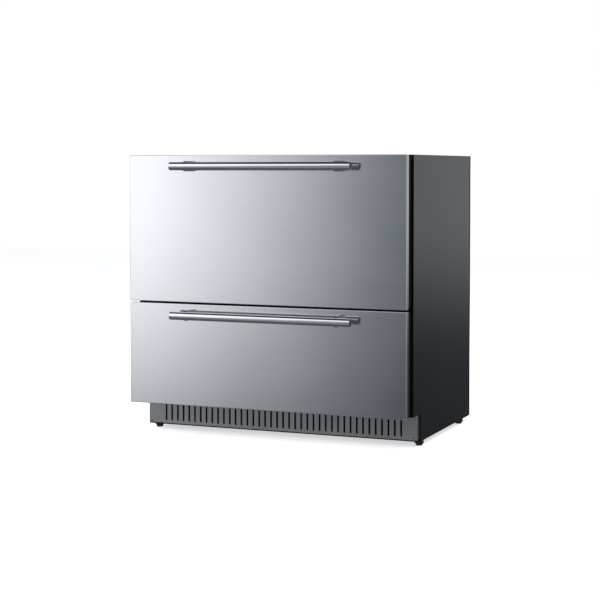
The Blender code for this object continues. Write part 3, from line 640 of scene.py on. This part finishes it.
def kick_grille():
    """Sheet with round-ended slots, bent back at both ends, over a thin black base rail."""
    low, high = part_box("kick_grille")
    pitch, half_slot, count, shift = GRILLE_PITCH, GRILLE_HALF_SLOT, GRILLE_SLOTS, GRILLE_SHIFT
    bottom, top = low.z + RAIL_HEIGHT, high.z
    bm = bmesh.new()
    places = [(index - (count - 1) / 2) * pitch + shift for index in range(count)]
    slot_low, slot_high = GRILLE_SLOT_BOTTOM + half_slot, GRILLE_SLOT_TOP - half_slot
    heights = slot_cells(bm, places, pitch, half_slot, slot_low, slot_high, bottom, top)
    edge, bend = high.x, GRILLE_BEND
    reach = high.y - low.y
    flat_end = edge - bend
    lines = [flat_end - 0.002, flat_end]
    lines += [flat_end + bend * PI / 2 * step / 5 for step in range(1, 6)]
    lines += [lines[-1] + reach - bend]
    half_row = count * pitch / 2
    strip(bm, [half_row + shift, *lines], heights, 0.0)
    strip(bm, [-x for x in lines[::-1]] + [shift - half_row], heights, 0.0)
    thicken(bm, (0.0, GRILLE_SHEET, 0.0))
    for vert in bm.verts:
        side, along, depth = math.copysign(1, vert.co.x), abs(vert.co.x), vert.co.y
        over = along - flat_end
        if over <= 0:
            vert.co.y = low.y + depth
            continue
        angle = min(over / bend, PI / 2)
        beyond = max(over - bend * PI / 2, 0.0)
        vert.co.x = side * (flat_end + (bend - depth) * math.sin(angle))
        vert.co.y = low.y + bend - (bend - depth) * math.cos(angle) + beyond
    ease_edges(piece("slotted_grille", bm, "grille_stainless", "kick_grille", ["kick_grille"]), 0.0002)

    rail_low = Vector((low.x + RAIL_END_GAP, low.y + RAIL_SET_BACK, low.z))
    rail_high = Vector((high.x - RAIL_END_GAP, high.y - RAIL_SET_BACK, bottom - 0.0003))
    piece("base_rail", slab("XY", rail_low, rail_high, 0.0006, 0.002), "trim_black", "kick_grille")
    places = [(side * (edge - 0.011), low.y, bottom + 0.007) for side in (-1, 1)]
    screws("grille_screws", places, "Y", -1, 0.0022, 0.0010, "kick_grille", "compressor_black")


FOOT_SEAT = 0.0160  # top of the grip
FOOT_PAD = 0.74  # the pad's radius, as a part of the grip's
FOOT_FLUTES = 18
FLUTE_DEPTH = 0.0007
THREAD_TURN = 0.00125


def foot(node):
    """Levelling foot: a narrow pad under a wide fluted grip, on a threaded stem."""
    low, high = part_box(node)
    centre = Vector(((low.x + high.x) / 2, (low.y + high.y) / 2, 0.0))
    radius = (high.x - low.x) / 2
    pad = radius * FOOT_PAD
    seat = FOOT_SEAT
    shape = [
        (0.0, pad - 0.0014, 0), (0.0003, pad - 0.0004, 0), (0.0010, pad, 0), (0.0042, pad, 0),
        (0.0050, pad + 0.0006, 0), (0.0060, radius - 0.0014, 0), (0.0070, radius - 0.0003, 1),
        (0.0078, radius, 1), (0.0126, radius, 1), (0.0135, radius - 0.0003, 1),
        (0.0143, radius - 0.0014, 0), (seat - 0.0006, radius - 0.0022, 0), (seat, radius - 0.0030, 0),
    ]
    rings = []
    for up, r, fluted in shape:
        points = []
        for step in range(72):
            angle = 2 * PI * step / 72
            reach = r - fluted * FLUTE_DEPTH * (0.5 - 0.5 * math.cos(FOOT_FLUTES * angle))
            points.append(centre + Vector((reach * math.cos(angle), reach * math.sin(angle), up)))
        rings.append(points)
    piece(node + "_grip", loft(rings), "foot_plastic", node, [node])
    thread = [(seat + 0.0002, 0.0034)]
    turn = THREAD_TURN
    count = int((high.z - seat - 0.001) / turn)
    for index in range(count):
        start = seat + 0.0006 + index * turn
        thread += [(start, 0.0034), (start + turn * 0.45, 0.0040), (start + turn * 0.6, 0.0040)]
    thread += [(high.z - 0.0006, 0.0036), (high.z, 0.0030)]
    piece(node + "_stem", lathe("Z", centre, thread, 24), "zinc_steel", node)


SHEET_SET_BACK = 0.0014  # rear sheets to the back plane of the cabinet, which leaves room for screws
HEAD_HEIGHT = 0.0013
HEAD_RADIUS = 0.0042
BEADS = (-0.34, -0.17, 0.0, 0.17, 0.34)  # pressed into the back
BEAD_HALF_WIDTH = 0.012
BEAD_FLANK = 0.003
BEAD_DEPTH = 0.0013
BEAD_END = 0.008  # over which a bead runs out
BEAD_MARGIN = 0.045  # from the sheet's top and bottom
BACK_SHEET = 0.0007
VENTS = 16  # in each row of the rear cover
VENT_PITCH = 0.044
VENT_HALF_WIDTH = 0.011
VENT_ROWS_MEET = 0.140
LOWER_VENTS = (0.081, 0.119)  # heights of each row's end centres
UPPER_VENTS = (0.161, 0.199)
COVER_SHEET = 0.0009


def back_panel():
    """Galvanised back with pressed upright beads."""
    low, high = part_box("back_panel")
    level = high.y - SHEET_SET_BACK
    width, flank, margin, end = BEAD_HALF_WIDTH, BEAD_FLANK, BEAD_MARGIN, BEAD_END
    turns = (-width, -width + flank / 2, -width + flank, width - flank, width - flank / 2, width)
    lines = [low.x, *(x + turn for x in BEADS for turn in turns), high.x]
    heights = [low.z, low.z + margin]
    heights += [low.z + margin + end * step / 4 for step in range(1, 5)]
    heights += [high.z - margin - end * (4 - step) / 4 for step in range(0, 5)] + [high.z]
    bm = bmesh.new()
    strip(bm, lines, heights, level)
    for vert in bm.verts:
        near = min(abs(vert.co.x - x) for x in BEADS)
        across = min(max((width - near) / flank, 0.0), 1.0)
        room = min(vert.co.z - low.z, high.z - vert.co.z) - margin
        along = min(max(room / end, 0.0), 1.0)
        vert.co.y += BEAD_DEPTH * min(across, math.sin(along * PI / 2))
    thicken(bm, (0.0, -BACK_SHEET, 0.0))
    piece("beaded_back", bm, "zinc_steel", "back_panel", ["back_panel"])
    places = [(x, level, high.z - 0.010) for x in (-0.42, -0.255, -0.085, 0.085, 0.255, 0.42)]
    places += [(side * 0.438, level, z) for side in (-1, 1) for z in (0.40, 0.55, 0.70)]
    screws("back_screws", places, "Y", 1, HEAD_RADIUS, HEAD_HEIGHT, "back_panel")


def rear_cover():
    """Sheet over the machine space, with two rows of round-ended vents between two rows of screws."""
    low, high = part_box("rear_cover")
    level = high.y - SHEET_SET_BACK
    bm = bmesh.new()
    vents = [(index - (VENTS - 1) / 2) * VENT_PITCH for index in range(VENTS)]
    lines = [VENTS * VENT_PITCH / 2, high.x]
    for bottom, (slot_low, slot_high), top in (
        (low.z, LOWER_VENTS, VENT_ROWS_MEET),
        (VENT_ROWS_MEET, UPPER_VENTS, high.z - 0.0025),
    ):
        heights = slot_cells(bm, vents, VENT_PITCH, VENT_HALF_WIDTH, slot_low, slot_high, bottom, top)
        strip(bm, lines, heights, 0.0)
        strip(bm, [-x for x in lines[::-1]], heights, 0.0)
    thicken(bm, (0.0, -COVER_SHEET, 0.0))
    bmesh.ops.translate(bm, verts=bm.verts, vec=(0.0, level, 0.0))
    piece("vented_cover", bm, "zinc_steel", "rear_cover", ["rear_cover"])
    places = [(x, level, z) for x in (-0.436, -0.15, 0.15, 0.436) for z in (low.z + 0.012, high.z - 0.010)]
    screws("cover_screws", places, "Y", 1, HEAD_RADIUS, HEAD_HEIGHT, "rear_cover")


SEAM = 0.1195  # the compressor's weld seam starts at this height
DOME = 0.1310  # and its dome at this one


def compressor():
    """Domed shell with its weld seam."""
    node = "compressor"
    low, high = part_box(node)
    centre = Vector(((low.x + high.x) / 2, (low.y + high.y) / 2, 0.0))
    radius = (high.x - low.x) / 2 / 1.05
    base, top = low.z, high.z
    profile = [(base, radius * 0.74), (base + 0.003, radius * 0.86), (base + 0.010, radius * 0.95)]
    profile += [(base + 0.020, radius), (SEAM, radius), (SEAM + 0.0020, radius * 1.03)]
    profile += [(SEAM + 0.0035, radius * 1.05), (SEAM + 0.0080, radius * 1.05)]
    profile += [(SEAM + 0.0095, radius * 1.02), (DOME, radius * 0.995)]
    for step in range(1, 10):
        angle = PI / 2 * step / 10
        share = 0.10 + 0.90 * math.cos(angle) ** 0.6
        profile.append((DOME + (top - DOME) * math.sin(angle), radius * share))
    profile.append((top, radius * 0.10))
    shell = lathe("Z", centre, profile, 56)
    piece("compressor_shell", shell, "compressor_black", node, [node], sharp=45)


# ---------------------------------------------------------------- controls


DIGIT_HEIGHT = 0.0110
DIGIT_WIDTH = 0.0056
DIGIT_BAR = 0.0012  # thickness of a lit bar


def display():
    """Glass with rounded corners, and a generic temperature reading made of lit bars."""
    node = "control_display"
    low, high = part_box(node)
    piece("display_window", slab("XZ", low, high, 0.0003, 0.0015), "display_glass", node, [node])
    middle = (low + high) / 2
    gap = DIGIT_BAR * 0.6
    flat = Vector((DIGIT_WIDTH / 2 - gap, 0, DIGIT_BAR / 2))
    upright = Vector((DIGIT_BAR / 2, 0, DIGIT_HEIGHT / 4 - gap))
    before, behind = Vector((0, -0.00010, 0)), Vector((0, 0.00002, 0))
    bm = bmesh.new()
    for across, up, half in ((0, 2, flat), (0, 0, flat), (0, -2, flat), (1, 1, upright), (1, -1, upright)):
        x, z = middle.x + across * DIGIT_WIDTH / 2, middle.z + up * DIGIT_HEIGHT / 4
        centre = Vector((x, low.y, z))
        slab("XZ", centre - half + before, centre + half + behind, 0.00005, 0.0003, bm)
    piece("display_reading", bm, "display_glass", node, finish="digit_light")


def button(node, marks):
    """Round button with a dished top and a raised mark."""
    low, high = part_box(node)
    centre = Vector(((low.x + high.x) / 2, low.y, (low.z + high.z) / 2))
    radius, length = (high.x - low.x) / 2, high.y - low.y
    profile = [
        (0.0004, 0.0008), (0.0003, radius * 0.45), (0.0001, radius * 0.78), (0.0, radius - 0.0008),
        (0.0002, radius - 0.0002), (0.0006, radius), (length - 0.0004, radius), (length, radius - 0.0004),
    ]
    piece(node + "_cap", lathe("Y", centre, profile, 36), "button_plastic", node, [node])
    bm = bmesh.new()
    for half_x, half_z in marks:
        half = Vector((half_x, 0.0, half_z))
        slab("XZ", centre - half, centre + half + Vector((0, 0.0006, 0)), 0.0001, 0.0003, bm)
    piece(node + "_mark", bm, "button_plastic", node, finish="lamp_lens")


# ---------------------------------------------------------------- studio


FLOOR_GLOW = 0.62  # even all over, so that the floor is nearly as white as the surround


def pale_floor():
    """A plain floor. It shows the lights' shadows, and isn't seen in reflections."""
    bm = bmesh.new()
    bmesh.ops.create_grid(bm, x_segments=24, y_segments=24, size=9.0)
    mesh = bpy.data.meshes.new("floor")
    bm.to_mesh(mesh)
    bm.free()
    floor = bpy.data.objects.new("floor", mesh)
    bpy.context.scene.collection.objects.link(floor)
    pale = bpy.data.materials.new("floor_pale")
    pale.use_nodes = True
    graph = Graph(pale.node_tree, "Object")
    shader = pale.node_tree.nodes["Principled BSDF"]
    cloud = graph.noise((3, 3, 3), 3.0)
    graph.put(shader.inputs["Base Color"], graph.mix(cloud, (0.80, 0.80, 0.80), (0.84, 0.84, 0.84)))
    graph.put(shader.inputs["Roughness"], graph.spread(cloud, (0.3, 0.7), (0.80, 0.90)))
    shader.inputs["Specular IOR Level"].default_value = 0.1
    shader.inputs["Emission Color"].default_value = (1.0, 1.0, 1.0, 1.0)
    shader.inputs["Emission Strength"].default_value = FLOOR_GLOW
    mesh.materials.append(pale)
    floor.visible_glossy = False
    floor.visible_diffuse = False


def surround():
    """The world: plain white as the background, and soft bright areas for light and reflections.

    A direction is given by x to the right, y to the back and z up.
    """
    world = bpy.data.worlds.new("studio")
    bpy.context.scene.world = world
    world.use_nodes = True
    graph = Graph(world.node_tree, "Generated")
    split = graph.add("ShaderNodeSeparateXYZ")
    graph.put(split.inputs[0], graph.place)
    x, y, z = split.outputs

    def rises(value, low, high, top=1.0, shape="SMOOTHSTEP"):
        return graph.spread(value, (low, high), (0.0, top), shape)

    def falls(value, low, high, top=1.0):
        return graph.spread(value, (low, high), (top, 0.0), "SMOOTHSTEP")

    def both(*values):
        total = values[0]
        for value in values[1:]:
            total = graph.math("MULTIPLY", total, value)
        return total

    def grey(value):
        scaled = graph.vector("SCALE", (1.0, 1.0, 1.0), (0.0, 0.0, 0.0))
        graph.put(scaled.node.inputs["Scale"], value)
        return scaled

    # Softboxes at the left and right, and one in front above eye level.
    near_level = falls(z, 0.30, 0.65)
    west = graph.math("MULTIPLY", x, -1.0)
    left = graph.math("POWER", rises(west, 0.273, 0.475, 1.05, "LINEAR"), 1.7)
    left = both(left, near_level, falls(y, 0.0, 0.8, 1.45), graph.spread(west, (0.49, 0.68), (1.0, 0.42)))
    right = both(rises(x, -0.20, 0.35, 0.65), near_level, falls(y, -0.3, 0.3))
    front_box = both(rises(z, 0.22, 0.60, 1.35), falls(z, 0.70, 0.87), falls(y, -0.45, -0.10))
    white = graph.math("ADD", graph.math("ADD", left, right), front_box)
    # A dim bluish room behind them, darker below the horizon.
    base = graph.vector("MULTIPLY", (0.097, 0.113, 0.140), grey(graph.spread(z, (0.76, 0.93), (1.0, 0.10))))
    upper = graph.vector("ADD", grey(white), base)
    colour = graph.add("ShaderNodeMix", data_type="RGBA")
    graph.put(colour.inputs[0], rises(z, -0.265, -0.022))
    colour.inputs[6].default_value = (0.040, 0.044, 0.052, 1.0)
    graph.put(colour.inputs[7], upper)
    # A light wall at the back, and light that the ground sends up.
    back = both(
        rises(y, 0.30, 0.90, 0.42), near_level, graph.spread(z, (-0.125, -0.026), (0.02, 1.0), "SMOOTHSTEP")
    )
    ground = both(falls(z, -0.34, -0.22, 0.34), graph.spread(z, (-0.75, -0.50), (0.25, 1.0)))
    around = graph.tree.nodes["Background"]
    total = graph.vector("ADD", colour.outputs[2], grey(graph.math("ADD", back, ground)))
    graph.put(around.inputs["Color"], total)
    # The camera sees plain white.
    plain = graph.add("ShaderNodeBackground")
    plain.inputs["Color"].default_value = (1.0, 1.0, 1.0, 1.0)
    seen = graph.add("ShaderNodeLightPath")
    choice = graph.add("ShaderNodeMixShader")
    graph.put(choice.inputs[0], seen.outputs["Is Camera Ray"])
    graph.put(choice.inputs[1], around.outputs[0])
    graph.put(choice.inputs[2], plain.outputs[0])
    graph.put(graph.tree.nodes["World Output"].inputs["Surface"], choice.outputs[0])


LIGHTS = (  # name, place, width and power
    ("key_light", (-2.6, -3.2, 2.2), 2.4, 90.0),
    ("top_light", (0.2, -0.6, 3.4), 2.8, 110.0),
    ("back_light", (1.8, 3.2, 2.0), 2.4, 70.0),
)
LIGHTS_AIM = Vector((0.0, 0.0, 0.4))


def lights():
    """Soft area lights aimed at the cabinet, which reflections don't show."""
    for name, place, size, power in LIGHTS:
        data = bpy.data.lights.new(name, "AREA")
        data.size = size
        data.energy = power
        light = bpy.data.objects.new(name, data)
        light.location = place
        light.rotation_euler = (LIGHTS_AIM - Vector(place)).to_track_quat("-Z", "Y").to_euler()
        light.visible_glossy = False
        bpy.context.scene.collection.objects.link(light)


def studio():
    bpy.context.scene.view_settings.view_transform = "Standard"
    pale_floor()
    surround()
    lights()


CAMERA_PLACE = (1.801984, -4.399573, 0.823833)
CAMERA_TILT = math.radians(88.0)  # 90 would be level
CAMERA_TURN = 0.390  # radians to the left of straight back
CAMERA_LENS = 90.137
CAMERA_SHIFT = -0.1308


def camera():
    data = bpy.data.cameras.new("camera")
    data.sensor_width = 36.0
    data.lens = CAMERA_LENS
    data.shift_y = CAMERA_SHIFT
    item = bpy.data.objects.new("camera", data)
    item.location = CAMERA_PLACE
    item.rotation_euler = (CAMERA_TILT, 0.0, CAMERA_TURN)
    bpy.context.scene.collection.objects.link(item)
    bpy.context.scene.camera = item


# ---------------------------------------------------------------- assembly


CARRIED = {  # material slot: bevel in metres, and the CAD nodes that stay as they are
    "cabinet_black": (0.0005, ["top_panel"]),
    "trim_black": (0.0005, ["front_frame", "divider_rail", "drip_tray", "cord_gland", "control_housing"]),
    "zinc_steel": (0.0003, ["compressor_plate", "condenser_fan_motor", "evaporator_fan_motor"]),
    "liner_white": (0.0010, ["inner_liner", "evaporator_cover"]),
    "foam_cream": (0.0, ["foam_insulation"]),
    "coil_aluminium": (0.0, ["condenser", "evaporator"]),
    "fan_plastic": (0.0003, ["condenser_fan_blade", "evaporator_fan_blade"]),
    "copper": (0.0, ["discharge_line"]),
    "lamp_lens": (0.0010, ["led_lamp"]),
}


def main():
    camera()
    studio()
    for drawer in ("upper", "lower"):
        drawer_skin(drawer)
        drawer_panel(drawer)
        drawer_gasket(drawer)
        drawer_bar(drawer)
        drawer_tub(drawer)
        for end in ("left", "right"):
            drawer_post(drawer, end)
            for member in ("outer", "middle", "inner"):
                carry(f"{drawer}_slide_{member}_{end}", "zinc_steel", 0.0002)
    side_panel("side_panel_left")
    side_panel("side_panel_right")
    kick_grille()
    for node in ("foot_front_left", "foot_front_right", "foot_rear_left", "foot_rear_right"):
        foot(node)
    back_panel()
    rear_cover()
    compressor()
    display()
    button("button_down", [(0.0022, 0.0004)])
    button("button_up", [(0.0022, 0.0004), (0.0004, 0.0022)])
    button("button_power", [(0.0005, 0.0020)])
    for slot, (bevel, names) in CARRIED.items():
        for node in names:
            carry(node, slot, bevel)
    for node in ("bottom_plate", "base_pan"):
        carry(node, "cabinet_black", 0.0005, "underside_black")


main()
